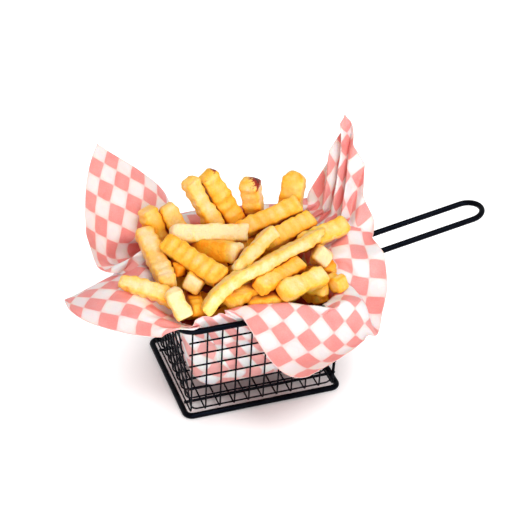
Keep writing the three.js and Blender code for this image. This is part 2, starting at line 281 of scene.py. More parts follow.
for name, y in (("floor_bar_front", -BAR_Y), ("floor_bar_back", BAR_Y)):
    ends = [MIDDLE + Vector((x, y, BAR_Z)) for x in BAR_ENDS]
    bar = bent_rod(name.replace("floor_bar", "cross_bar"), ends, [0, 0], BAR)
    steel(bar, name)

# ----------------------------------------
# Net. A flat cross of welded 1.2 mm wire at 10 mm centres, folded up along the four sides of
# its floor. The upright wires run on under the floor as one U and end at the top rod. The
# level wires lie inside the upright ones and stick out a little past the last of them.

WIRE = 1.2 * MM
FLOOR_FAR, FLOOR_HANDLE, FLOOR_HALF_Y, FLOOR_Z = 48.8 * MM, 51.2 * MM, 44 * MM, 5 * MM
PITCH = 10 * MM
LEAN, HANDLE_SIDE_LEAN = math.radians(6.26), math.radians(4.16)
WALL_LENGTH = 67 * MM  # along the wall, to the underside of the top rod
HIGHEST_WIRE = 58.8 * MM  # along the wall
LEVEL_WIRES = 6
FOLD_FRONT, FOLD_SIDE = 2.5 * MM, 4.5 * MM
STUB = 1.6 * MM
WELD = 0.5 * MM  # half the distance between crossing wires
FIRST_Y, SECOND_Y = -43 * MM, -31 * MM
WIRES_ACROSS, WIRES_DEEP = 11, 8  # the second of them counts from the wire at SECOND_Y

across = [-FLOOR_FAR + PITCH * i for i in range(WIRES_ACROSS)]
depth = [FIRST_Y] + [SECOND_Y + PITCH * i for i in range(WIRES_DEEP)]
heights = [HIGHEST_WIRE - PITCH * i for i in range(LEVEL_WIRES)]
rise = math.cos(LEAN) * WALL_LENGTH


def u_wire(at, first, last, last_lean, along_x, fold, drop):
    """A wire up one wall, under the floor and up the wall opposite, which may lean less."""
    run, last_run = math.sin(LEAN) * WALL_LENGTH, math.sin(last_lean) * WALL_LENGTH
    profile = [(-first - run - drop, FLOOR_Z + rise), (-first - drop, FLOOR_Z - drop),
               (last + drop, FLOOR_Z - drop), (last + last_run + drop, FLOOR_Z + rise)]
    corners = [MIDDLE + Vector((p, at, z) if along_x else (at, p, z)) for p, z in profile]
    return bent_rod("wire", corners, [0, fold, fold, 0], WIRE, steps=5, sides=1)


def level_wire(height, side, half_side, lean, first, last, along_x):
    """A wire across one wall at a height along it, just inside the upright wires."""
    out = half_side + math.sin(lean) * height - WELD * 2
    z = FLOOR_Z + math.cos(lean) * height
    ends = [first - STUB, last + STUB]
    corners = [MIDDLE + Vector((e, side * out, z) if along_x else (side * out, e, z)) for e in ends]
    return bent_rod("wire", corners, [0, 0], WIRE, sides=1)


def joined(name, parts):
    only(parts[0])
    for part in parts:
        part.select_set(True)
    bpy.ops.object.join()
    parts[0].name = name
    return parts[0]


wires = [u_wire(x, FLOOR_HALF_Y, FLOOR_HALF_Y, LEAN, False, FOLD_FRONT, WELD)
         for x in across]
wires += [u_wire(y, FLOOR_FAR, FLOOR_HANDLE, HANDLE_SIDE_LEAN, True, FOLD_SIDE, -WELD)
          for y in depth]
for side, floor_x, lean in ((-1, FLOOR_FAR, LEAN), (1, FLOOR_HANDLE, HANDLE_SIDE_LEAN)):
    for height in heights:
        wires.append(level_wire(height, side, FLOOR_HALF_Y, LEAN, across[0], across[-1], True))
        wires.append(level_wire(height, side, floor_x, lean, depth[0], depth[-1], False))
net = joined("wire_net", wires)
steel(net, "mesh_front", "mesh_back", "mesh_handle_side", "mesh_far_side", "mesh_floor")

# ----------------------------------------
# Paper. A cut sheet of greaseproof paper, 290 by 277 mm, printed on its upper side with a common
# check of 13.2 mm squares. It is pushed down into the basket, so its middle lines the net and
# its four corners stand up or hang over the top rod.

CHECK = 13.2  # mm; the sheet's own shape is worked out in millimetres
ALONG, DEEP = 22, 21  # checks

# Three of the sheet's corners are smooth flaps. Each is given by where points 3 checks apart lie,
# counted inwards from its corner along the sheet and across it, (0, 0), (3, 0) ... (0, 9).
BACK_LEFT = [(-78, 67, 153), (-52, 77, 127), (-29, 79, 99), (-29, 81, 61), (-92, 43, 134),
             (-65, 50, 110), (-40, 49, 87), (-97, 16, 108), (-78, 30, 83), (-88, -6, 84)]
LEFT = [(-122, -20, 92), (-108, -48, 89), (-78, -61, 83), (-72, -40, 72), (-111, 3, 80),
        (-88, -16, 91), (-64, -34, 82), (-88, 24, 71), (-64, 10, 83), (-77, 60, 57)]
FRONT = [(8, -112, 69), (-10, -80, 68), (-22, -54, 87), (-46, -46, 61), (40, -92, 65),
         (25, -65, 70), (2, -34, 88), (63, -76, 65), (54, -46, 83), (84, -46, 62)]
FLAP_STEP = 3  # checks
FLAP_FULL, FLAP_GONE = 6.2, 8.4  # checks in from the corner, where a flap's hold fades
# The fourth corner is gathered into upright pleats. Its two edges, every 2 checks from the tip.
TALL_ALONG = [(86, 38, 164), (84, 41, 150), (80, 43, 136), (74, 46, 119), (66, 52, 94)]
TALL_ACROSS = [(86, 38, 164), (93, 34, 148), (97, 30, 125), (98, 20, 105), (95, 0, 88)]
TALL_FULL, TALL_GONE, TALL_STEP = 6.8, 9.5, 2  # checks
# Its pleats: checks from fold to fold, mm deep, the way they fold, and where they fade in and out.
PLEAT, PLEAT_DEPTH, PLEAT_WAY = 1.6, 5.0, (0.76, 0.65)
PLEAT_START, PLEAT_END, PLEAT_FADE = 1.5, 12, 4
# Places across it on the flat sheet, from edge to edge, and the share of the way that they lie at.
TALL_FAN, TALL_SHARE = (-1, -0.57, 0.57, 1), (0, 0.24, 0.64, 1)
# Where the rest of the sheet's edge lies, by checks along and across the sheet.
SHEET_EDGE = {
    (0, 9.5): (-68, 22, 84), (0, 11): (-55, 26, 78), (0, 13): (-58, 20, 77),
    (7.6, 21): (-69, -57, 82), (9, 21): (-61, -54, 85), (10.2, 21): (-53, -53.5, 83),
    (22, 15.6): (56, -76, 70), (22, 14.2): (73, -69, 55), (22, 13): (78, -56, 62),
    (22, 11.7): (88, -42, 66), (22, 10.3): (97, -28, 67), (12, 0): (30, 60, 84),
    (9.5, 0): (0, 60, 84), (7.6, 0): (-20, 61, 92),
}
# The front wall of the lining. At its top edge it starts at FRONT_LEFT and is gathered to 5.2 mm
# a check, and it opens out to twice that FRONT_GATHER checks down. It is held in full within
# FRONT_HALF checks of FRONT_MIDDLE, and no longer held FRONT_DEPTH checks down from the edge.
FRONT_EDGE_Z, FRONT_FOLD = 82.5, 1.2  # mm
FRONT_LEFT, FRONT_OPENS, FRONT_CHECK = -57, 19, 5.2  # mm
FRONT_FIRST, FRONT_GATHER, FRONT_PLEAT = 8, 4.5, 1.1  # checks
FRONT_MIDDLE, FRONT_HALF, FRONT_DEPTH = 12.25, 1.75, 5
# Its edge may lie no higher than FRONT_TOP between these places, in mm.
FRONT_TOP, FRONT_NEAR, FRONT_FAR, FRONT_ENDS = 83, -42, -58, (-58, 56)
FLAP_BULGE = 4  # mm
SHEET_FINE = 8  # steps to a check in the finished sheet
CREASES, CREASE_DEPTH, CREASE_SEED = 170, 1.0, 3
CREASE_WIDTH = 0.4  # checks
ROD_GAP, NET_GAP = 1.3, 2.2  # mm between the sheet and a rod or the net
LINING_TOP, LINING_SLACK = 74, 2.5  # mm
UNDER_ROD, OVER_ROD = 76, 77  # mm, where the sheet has to keep its side of the net
# How the sheet moves in a round: share of its last move, mm that its weight adds, passes that put
# its lengths right, share of an error that a diagonal takes up, and the most that it moves, in mm.
GLIDE, WEIGHT, PASSES, DIAGONAL, FASTEST = 0.85, 0.01, 10, 0.7, 2
LOOSE = 0.03  # how firm paper is that folds freely, where 1 can't fold
FIRM_CHECKS = (12.5, 11.5, 12, 13.5)  # in from each corner, where it starts to be firmer
FIRM_FADE = 3  # checks
# Where the sheet is held up over the two short sides of the top rod: beyond this x, this far in
# and out from the rod, this far along it, and falling this steeply once it is this far inside.
SIDE_X, SIDE_IN, SIDE_OUT = 48, -12, 6
SIDE_MIDDLE, SIDE_HALF = -4, 44
SIDE_FALL, SIDE_FLAT = 4, 2.5
HANDLE_BESIDE, HANDLE_FADE, HANDLE_COVERED = 9, 5, 106  # mm
# Cross-section of the lining: share of the way out to the top rod, and height in mm.
BOWL_SHARE = np.array([0, 0.35, 0.56, 0.69, 0.775, 0.83, 0.875, 0.91, 0.93, 0.95])
BOWL_HEIGHT = np.array([7.2, 7.6, 9, 12.5, 19, 28, 42, 58, 68, 78])


def rim_reach(x, y):
    """How far out the top rod is in the direction of each point."""
    far = np.hypot(x, y) + TINY
    dx, dy = np.abs(x / far), np.abs(y / far)
    corner = RIM_CORNER / MM
    flat_x, flat_y = RIM_HALF_X / MM - corner, RIM_HALF_Y / MM - corner
    reach = np.minimum((flat_x + corner) / (dx + TINY), (flat_y + corner) / (dy + TINY))
    along = flat_x * dx + flat_y * dy
    beside = flat_x * dy - flat_y * dx
    round_end = along + np.sqrt(np.maximum(corner ** 2 - beside ** 2, 0))
    at_corner = (reach * dx > flat_x) & (reach * dy > flat_y)
    return np.where(at_corner, round_end, reach), far, x / far, y / far


def sheet_grid(fine):
    """Places on the flat sheet in checks, with so many steps to a check."""
    return np.meshgrid(np.arange(ALONG * fine + 1) / fine, np.arange(DEEP * fine + 1) / fine,
                       indexing="ij")


def round_edge(s, t):
    """How far round the edge of the sheet a place on it is, in checks."""
    return np.where(s <= 0, t, np.where(t >= DEEP, DEEP + s, np.where(
        s >= ALONG, 2 * DEEP + ALONG - t, 2 * (DEEP + ALONG) - s)))


def flap_place(nodes, p, q):
    """A cubic surface through a flap's points, at p and q checks in from the corner."""
    at = [(i, j) for j in range(4) for i in range(4 - j)]
    terms = [[(i ** m) * (j ** n) for m in range(4) for n in range(4 - m)] for i, j in at]
    shape = np.linalg.solve(np.array(terms, float), np.array(nodes, float))
    p, q = p / FLAP_STEP, q / FLAP_STEP
    return np.stack([p ** m * q ** n for m in range(4) for n in range(4 - m)], -1) @ shape


def tall_place(p, q):
    """The tall corner: straight across from edge to edge, in pleats that tighten in the middle."""
    down, across = p + q, p - q
    ends = [np.stack([np.interp(down, np.arange(len(side)) * TALL_STEP, edge)
                      for edge in np.array(side, float).T], -1)
            for side in (TALL_ALONG, TALL_ACROSS)]
    share = np.interp(-across / (down + SMALL), TALL_FAN, TALL_SHARE)
    flat = ends[0] + (ends[1] - ends[0]) * share[..., None]
    fold = np.abs((across / PLEAT + 0.5) % 2 - 1) * 2 - 1
    deep = (PLEAT_DEPTH * np.clip(down / PLEAT_START, 0, 1)
            * np.clip((PLEAT_END - down) / PLEAT_FADE, 0, 1))
    flat[..., :2] += (fold * deep)[..., None] * PLEAT_WAY
    return flat


def front_place(s, t):
    """The front wall of the lining, gathered to the left at its top edge, in upright folds."""
    under = DEEP - t
    z = FRONT_EDGE_Z - under * CHECK
    loose = np.clip(under / FRONT_GATHER, 0, 1)
    left = FRONT_LEFT + FRONT_OPENS * loose
    x = left + (s - FRONT_FIRST) * (FRONT_CHECK + FRONT_CHECK * loose)
    y = -RIM_HALF_Y / MM * np.interp(z, BOWL_HEIGHT, BOWL_SHARE) - np.clip(z - 75, 0, 5) * 0.5
    fold = np.abs((s + 0.5 * under) / FRONT_PLEAT % 2 - 1) * 2 - 1
    return np.stack([x, y + FRONT_FOLD * (1 + fold) * (1 - 0.5 * loose), z], -1)


def guides(s, t):
    """Where the four corners hold each point of the sheet, and how strongly."""
    total, strength = np.zeros((*s.shape, 3)), np.zeros(s.shape)
    corners = [(s, t, BACK_LEFT, 1), (s, DEEP - t, LEFT, 1), (ALONG - s, DEEP - t, FRONT, 1.3),
               (ALONG - s, t, None, 1)]
    for p, q, nodes, narrow in corners:
        narrow = 1 + (narrow - 1) * np.clip(1 - p / 2, 0, 1)
        full, gone = (FLAP_FULL, FLAP_GONE) if nodes else (TALL_FULL, TALL_GONE)
        hold = np.clip((gone - p - q * narrow) / (gone - full), 0, 1)
        place = flap_place(nodes, p, q) if nodes else tall_place(p, q)
        total += place * hold[..., None]
        strength += hold
    aside = np.maximum(np.abs(s - FRONT_MIDDLE) - FRONT_HALF, t * 0)
    hold = np.clip(1 - aside, 0, 1) * np.clip(FRONT_DEPTH - (DEEP - t), 0, 1)
    total += front_place(s, t) * hold[..., None]
    strength += hold
    return total / np.maximum(strength, SMALL)[..., None], strength[..., None]


def first_drape():
    """The sheet laid from the middle of the floor, up the lining and straight to its edge."""
    s, t = sheet_grid(1)
    ds, dt = s - ALONG / 2, t - DEEP / 2
    scale = 1 / np.maximum(np.maximum(np.abs(ds) / (ALONG / 2), np.abs(dt) / (DEEP / 2)), TINY)
    edge_s, edge_t = ALONG / 2 + ds * scale, DEEP / 2 + dt * scale
    edge_s = np.where(edge_s < SMALL, 0, np.where(edge_s > ALONG - SMALL, ALONG, edge_s))
    edge_t = np.where(edge_t < SMALL, 0, np.where(edge_t > DEEP - SMALL, DEEP, edge_t))
    lap = 2 * (ALONG + DEEP)
    marks = dict(SHEET_EDGE)
    for mark in range(lap):
        key = (min(max(min(mark - DEEP, lap - mark), 0), ALONG),
               min(max(min(mark, 2 * DEEP + ALONG - mark), 0), DEEP))
        place, strength = guides(*np.array(key, float))
        if strength[0] > 0.9:
            marks[key] = place
    known = np.array([float(round_edge(*key)) % lap for key in marks])
    order = np.argsort(known)
    places = np.array(list(marks.values()), float)[order]
    edge = np.stack([np.interp(round_edge(edge_s, edge_t) % lap, known[order], places[:, axis],
                               period=lap) for axis in range(3)], -1)
    reach, _, dx, dy = rim_reach(edge[..., 0], edge[..., 1])
    climbed = [np.zeros_like(reach)]
    for out, up in zip(np.diff(BOWL_SHARE), np.diff(BOWL_HEIGHT)):
        climbed.append(climbed[-1] + np.hypot(out * reach, up))
    at_rim = np.stack([dx, dy, np.zeros_like(dx)], -1) * (reach * BOWL_SHARE[-1])[..., None]
    at_rim[..., 2] = BOWL_HEIGHT[-1]
    length = climbed[-1] + np.linalg.norm(edge - at_rim, axis=-1)
    gone = length / scale
    share, height = np.zeros_like(gone), np.full_like(gone, BOWL_HEIGHT[0])
    for i, low in enumerate(climbed[:-1]):
        part = np.clip((gone - low) / (climbed[i + 1] - low), 0, 1)
        share += part * (BOWL_SHARE[i + 1] - BOWL_SHARE[i])
        height += part * (BOWL_HEIGHT[i + 1] - BOWL_HEIGHT[i])
    lining = np.stack([dx * reach * share, dy * reach * share, height], -1)
    beyond = np.clip((gone - climbed[-1]) / (length - climbed[-1] + SMALL), 0, 1)[..., None]
    flap = at_rim + (edge - at_rim) * beyond
    flap[..., 2] += FLAP_BULGE * np.sin(np.pi * beyond[..., 0])
    return np.where(beyond > 0, flap, lining)


def halved(points):
    """The sheet with twice as many steps, on a smooth curve through the old points."""
    def between(p):
        q = np.concatenate([2 * p[:1] - p[1:2], p, 2 * p[-1:] - p[-2:-1]])
        return (9 * (q[1:-2] + q[2:-1]) - (q[:-3] + q[3:])) / 16
    fine = np.zeros((2 * points.shape[0] - 1, 2 * points.shape[1] - 1, 3))
    fine[::2, ::2] = points
    fine[1::2, ::2] = between(points)
    fine[:, 1::2] = between(fine[:, ::2].swapaxes(0, 1)).swapaxes(0, 1)
    return fine


def clear_of_rods(points):
    """Moves the sheet off the top rod, and over the handle where that leaves the basket."""
    x, y, z = np.moveaxis(points, -1, 0)
    reach, far, dx, dy = rim_reach(x, y)
    out, up = far - reach, z - RIM_Z / MM
    near = np.hypot(out, up) + TINY
    push = np.maximum(ROD / MM / 2 + ROD_GAP - near, 0) / near
    x += dx * out * push
    y += dy * out * push
    z += up * push
    sides = ((np.abs(x) > SIDE_X) & (out < SIDE_OUT) & (out > SIDE_IN)
             & (np.abs(y - SIDE_MIDDLE) < SIDE_HALF))
    floor = RIM_Z / MM + ROD / MM / 2 + ROD_GAP - SIDE_FALL * np.maximum(-out - SIDE_FLAT, 0)
    z += np.maximum(floor - z, 0) * sides
    beside = np.clip((HANDLE_HALF_GAP / MM + HANDLE_BESIDE - np.abs(y)) / HANDLE_FADE, 0, 1)
    top = KNEE_Z / MM + (x - KNEE_X / MM) * math.tan(HANDLE_LIFT) + ROD / MM / 2 + ROD_GAP
    low = (x > KNEE_X / MM - 4) & (x < HANDLE_COVERED)
    z += np.maximum(top - z, 0) * beside * low


class Sheet:
    """Paper that hardly stretches, and resists creasing where it stands clear of the lining."""

    def __init__(self, points, fine, firm_corners):
        self.points, self.fine = points, fine
        self.speed = np.zeros_like(points)
        s, t = sheet_grid(fine)
        back_left, left, front, tall = FIRM_CHECKS
        rise = [back_left - s - t, left - s - (DEEP - t), front - (ALONG - s) - (DEEP - t),
                tall - (ALONG - s) - t]
        self.firm = np.full(s.shape, LOOSE)
        for firm, depth in zip(firm_corners, rise):
            share = np.clip(depth / FIRM_FADE, 0, 1)
            share = share * share * (3 - 2 * share)
            self.firm = np.maximum(self.firm, LOOSE + (firm - LOOSE) * share)
        self.firm = self.firm[..., None]
        self.guide, self.guided = guides(s, t)
        keys = np.array(list(SHEET_EDGE), float) * fine
        low = np.minimum(keys.astype(int), np.array(self.points.shape[:2]) - 2)
        f, g = (keys - low).T
        row = points.shape[1]
        first = low[:, 0] * row + low[:, 1]
        self.held = np.stack([first, first + row, first + 1, first + row + 1], 1)
        self.shares = np.stack([(1 - f) * (1 - g), f * (1 - g), (1 - f) * g, f * g], 1)
        self.goals = np.array(list(SHEET_EDGE.values()), float)
        x, y, z = np.moveaxis(points, -1, 0)
        wall_x, wall_y = self.wall(z)
        self.inside = (np.abs(x) < wall_x) & (np.abs(y) < wall_y)
        self.lining = (z < LINING_TOP) & self.inside

    @staticmethod
    def wall(z):
        out = (z - FLOOR_Z / MM) * math.tan(LEAN)
        return FLOOR_FAR / MM + out, FLOOR_HALF_Y / MM + out

    def pair(self, a, b, rest, strength, crease):
        """Moves points that are too far apart together, and too close ones apart if firm."""
        gap = self.points[b] - self.points[a]
        length = np.sqrt((gap * gap).sum(-1, keepdims=True)) + TINY
        error = (length - rest) / length
        error = np.where(error < 0, error * (self.firm[a] + self.firm[b]) / 2,
                         0 if crease else error)
        self.points[a] += gap * error * strength / 2
        self.points[b] -= gap * error * strength / 2

    def lines(self, step, strength, crease=False):
        for axis in (0, 1):
            for start in range(2 * step):
                count = (self.points.shape[axis] - 1 - start - step) // (2 * step) + 1
                if count > 0:
                    ends = [slice(first, first + (count - 1) * 2 * step + 1, 2 * step)
                            for first in (start, start + step)]
                    keys = [(end,) if axis == 0 else (slice(None), end) for end in ends]
                    self.pair(*keys, CHECK / self.fine * step, strength, crease)

    def diagonals(self, strength):
        tall, wide = self.points.shape[:2]
        for s in (0, 1):
            for t in (0, 1):
                n, m = (tall - s) // 2, (wide - t) // 2
                for turn in (0, 1):
                    a = (slice(s + turn, s + turn + 2 * n - 1, 2), slice(t, t + 2 * m - 1, 2))
                    b = (slice(s + 1 - turn, s - turn + 2 * n, 2), slice(t + 1, t + 2 * m, 2))
                    self.pair(a, b, CHECK / self.fine * math.sqrt(2), strength, False)

    def hold(self, strength):
        flat = self.points.reshape(-1, 3)
        now = (flat[self.held] * self.shares[..., None]).sum(1)
        move = (self.goals - now) * strength
        weight = self.shares / (self.shares ** 2).sum(1, keepdims=True)
        np.add.at(flat, self.held.ravel(), (weight[..., None] * move[:, None]).reshape(-1, 3))
        self.points += (self.guide - self.points) * self.guided ** 2 * 0.5

    def keep_clear(self):
        """Keeps the sheet in its lining, outside the net where it hangs, and off the top rod."""
        x, y, z = np.moveaxis(self.points, -1, 0)
        reach, far, dx, dy = rim_reach(x, y)
        share, step = far / reach, 0.02
        low, after, before = (np.interp(share + d, BOWL_SHARE, BOWL_HEIGHT)
                              for d in (0, step, -step))
        slope = (after - before) / (2 * step * reach)
        steep = np.sqrt(1 + slope ** 2)
        above = (z - low) / steep
        over = self.lining & (share < BOWL_SHARE[-1]) & (above > LINING_SLACK)
        under = self.lining & (above < 0) & (z < UNDER_ROD)
        push = ((LINING_SLACK - above) * over - above * under) / steep
        z += push
        x -= push * slope * dx
        y -= push * slope * dy
        front = (y < FRONT_NEAR) & (y > FRONT_FAR) & (x > FRONT_ENDS[0]) & (x < FRONT_ENDS[1])
        z[front] = np.minimum(z[front], FRONT_TOP)
        wall_x, wall_y = self.wall(np.minimum(z, RIM_Z / MM))
        gap_x, gap_y = wall_x + NET_GAP - np.abs(x), wall_y + NET_GAP - np.abs(y)
        hit = ~self.inside & (z < UNDER_ROD) & (gap_x > 0) & (gap_y > 0)
        side, end = hit & (gap_x < gap_y), hit & (gap_x >= gap_y)
        x[side] += np.sign(x[side]) * gap_x[side]
        y[end] += np.sign(y[end]) * gap_y[end]
        clear_of_rods(self.points)
        wall_x, wall_y = self.wall(np.full_like(z, RIM_Z / MM))
        in_now = (np.abs(x) < wall_x) & (np.abs(y) < wall_y)
        self.inside = np.where(z > OVER_ROD, in_now, self.inside)
        np.maximum(z, 1, out=z)

    def settle(self, rounds, creases, hold):
        for _ in range(rounds):
            before = self.points.copy()
            self.points += self.speed * GLIDE
            self.points[..., 2] -= WEIGHT
            for turn in range(PASSES):
                if turn % 2 == 0:
                    for step, strength in creases:
                        self.lines(step, strength, crease=True)
                self.diagonals(DIAGONAL)
                self.lines(1, 1.0)
                self.hold(hold)
                if turn % 3 == 2:
                    self.keep_clear()
            self.speed = np.clip(self.points - before, -FASTEST, FASTEST)
        return self.points


def smoothed(points, fine, rounds):
    """Takes small wrinkles out of the part of the sheet that no corner guides."""
    loose = np.clip(1 - guides(*sheet_grid(fine))[1], 0, 1)
    for _ in range(rounds):
        edged = np.pad(points, ((1, 1), (1, 1), (0, 0)), mode="reflect", reflect_type="odd")
        middle = (edged[2:, 1:-1] + edged[:-2, 1:-1] + edged[1:-1, 2:] + edged[1:-1, :-2]) / 4
        points = points + (middle - points) * loose * 0.5
    return points


def creased(points):
    """Sharp shallow creases from handling, in random directions."""
    s, t = sheet_grid(SHEET_FINE)
    rng = np.random.default_rng(CREASE_SEED)
    lift = np.zeros_like(s)
    for _ in range(CREASES):
        turn, length = rng.uniform(0, math.pi), rng.uniform(2, 6)
        ds, dt = s - rng.uniform(0, ALONG), t - rng.uniform(0, DEEP)
        along = ds * math.cos(turn) + dt * math.sin(turn)
        beside = dt * math.cos(turn) - ds * math.sin(turn)
        depth = rng.uniform(-CREASE_DEPTH, CREASE_DEPTH)
        fade = np.clip(1 - np.abs(along) / length, 0, 1)
        lift += depth * fade * np.exp(-np.abs(beside) / CREASE_WIDTH)
    normal = np.cross(np.gradient(points, axis=0), np.gradient(points, axis=1))
    normal /= np.linalg.norm(normal, axis=-1, keepdims=True) + TINY
    return points + normal * lift[..., None]


# The sheet settles three times, each twice as fine as the last: steps to a check, rounds, how firm
# its four corners are, how it resists a crease of so many steps, and how fast its edge is moved.
STAGES = [(1, 60, (0.7, 0.6, 0.9, LOOSE), [(2, 0.12)], 0.25),
          (2, 25, (0.3, 0.3, 0.5, LOOSE), [(2, 0.25), (4, 0.1)], 0.1),
          (4, 10, (0.15, 0.15, 0.25, LOOSE), [(2, 0.4), (4, 0.2)], 0.05)]
SMOOTHINGS = 5


def draped_sheet():
    """The finished sheet, from its first lay to its creases."""
    points = first_drape()
    for fine, rounds, firm_corners, creases, hold in STAGES:
        if fine > 1:
            points = halved(points)
        points = Sheet(points, fine, firm_corners).settle(rounds, creases, hold)
    points = creased(halved(smoothed(points, fine, SMOOTHINGS)))
    clear_of_rods(points)
    return points


sheet_points = draped_sheet()
rows, row = sheet_points.shape[:2]
paper = added("checked_sheet", bpy.ops.mesh.primitive_grid_add, x_subdivisions=rows - 1,
              y_subdivisions=row - 1, size=2)
on_sheet = (read(paper.data.vertices, "co")[:, :2] + 1) / 2 * (ALONG, DEEP)
grid = np.rint(on_sheet * SHEET_FINE).astype(int)
draped = sheet_points[grid[:, 0], grid[:, 1]]
corners = read(paper.data.loops, "vertex_index", 1, int)[:, 0]
paper.data.uv_layers[0].data.foreach_set("uv", on_sheet[corners].ravel())
lay(paper, draped)
faces = [tuple(face.vertices) for face in paper.data.polygons]
sheet_tree = BVHTree.FromPolygons([Vector(p) for p in draped], [face[::-1] for face in faces])

PAPER_THICK = 0.25 * MM
PAPER_SMOOTH = math.radians(60)
PAPER_RELIEF = 1.2 * MM
only(paper)
bpy.ops.object.mode_set(mode="EDIT")
bpy.ops.mesh.select_all(action="SELECT")
bpy.ops.mesh.flip_normals()
bpy.ops.object.mode_set(mode="OBJECT")
modifier = paper.modifiers.new("thickness", "SOLIDIFY")
modifier.thickness, modifier.offset = PAPER_THICK, 0
modifier.material_offset = modifier.material_offset_rim = 1


def printed_paper(name, ink, sheet, halo):
    """Greaseproof paper with a check of one ink on it."""
    material, tree, shader = new_finish(name, Roughness=0.5, Subsurface_Weight=0.3,
                                        Subsurface_Scale=0.002)
    place = tree.make("ShaderNodeUVMap", {"uv_map": "UVMap"})
    wobble = noise(tree, place, 3.0, 3.0, output=1)
    shift = tree.make("ShaderNodeVectorMath", {"operation": "MULTIPLY_ADD"},
                      {0: wobble, 1: (0.03, 0.03, 0), 2: place})
    parts = tree.make("ShaderNodeSeparateXYZ", None, {"Vector": shift})
    s, t = parts, Tone(parts.tree, parts.socket.node.outputs[1])
    step_s, step_t = ((v * math.pi).math("SINE", v * math.pi) for v in (s, t))
    product = step_s * step_t * -1
    check = product.between(-0.05, 0.07)
    inner = (product * -1).between(0.12, 0.42)
    mottle = noise(tree, place, 1.1, 4.0)
    wear = noise(tree, place, 14.0, 2.0)
    strength = check * (0.80 + 0.35 * (mottle - 0.5) + 0.25 * (wear - 0.5))
    feed(tree, shader, "Base Color", strength.blend(inner.blend(halo, sheet), ink))
    crumple = tree.make("ShaderNodeTexVoronoi", {"voronoi_dimensions": "2D"},
                        {"Vector": shift, "Scale": 0.75})
    height = noise(tree, place, 0.9, 4.0) + crumple * 1.3 + wear * 0.05
    relief(tree, shader, height, PAPER_RELIEF, 0.75)
    return material


INK, INK_THROUGH = (0.80, 0.205, 0.185), (0.88, 0.27, 0.25)
WHITE_SIDE, WHITE_EDGE = (0.82, 0.755, 0.765), (0.84, 0.69, 0.67)
BACK_SIDE, BACK_EDGE = (0.92, 0.80, 0.79), (0.90, 0.66, 0.64)
paper.data.materials.append(printed_paper("printed_side", INK, WHITE_SIDE, WHITE_EDGE))
paper.data.materials.append(printed_paper("plain_side", INK_THROUGH, BACK_SIDE, BACK_EDGE))
bpy.ops.object.modifier_apply(modifier="thickness")
bpy.ops.object.shade_smooth_by_angle(angle=PAPER_SMOOTH)
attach(paper, "root")
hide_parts("paper_liner")

# ----------------------------------------
# Fries. Potato sticks about 11 mm square, cut with a corrugated blade, so two opposite faces of
# each are ridged at about 7 mm and the two between them are smooth with wavy edges. They are fried
# to a bright gold and heaped loosely, with some standing up at the back.

RIDGE_PITCH, RIDGE_DEPTH = 6.8, 1.1  # mm, as all the fries' own sizes below
RIDGE_MEAN = 0.62  # the ridges' mean height, as a share of their depth
RIDGE_FADE, BLUNT, TAPER = 3, 4.5, 14  # in from the end
BROWN_END = 2.5  # of each end that is browner and uneven
RING_STEP = 1.05
EDGE_ROUND = 2.0

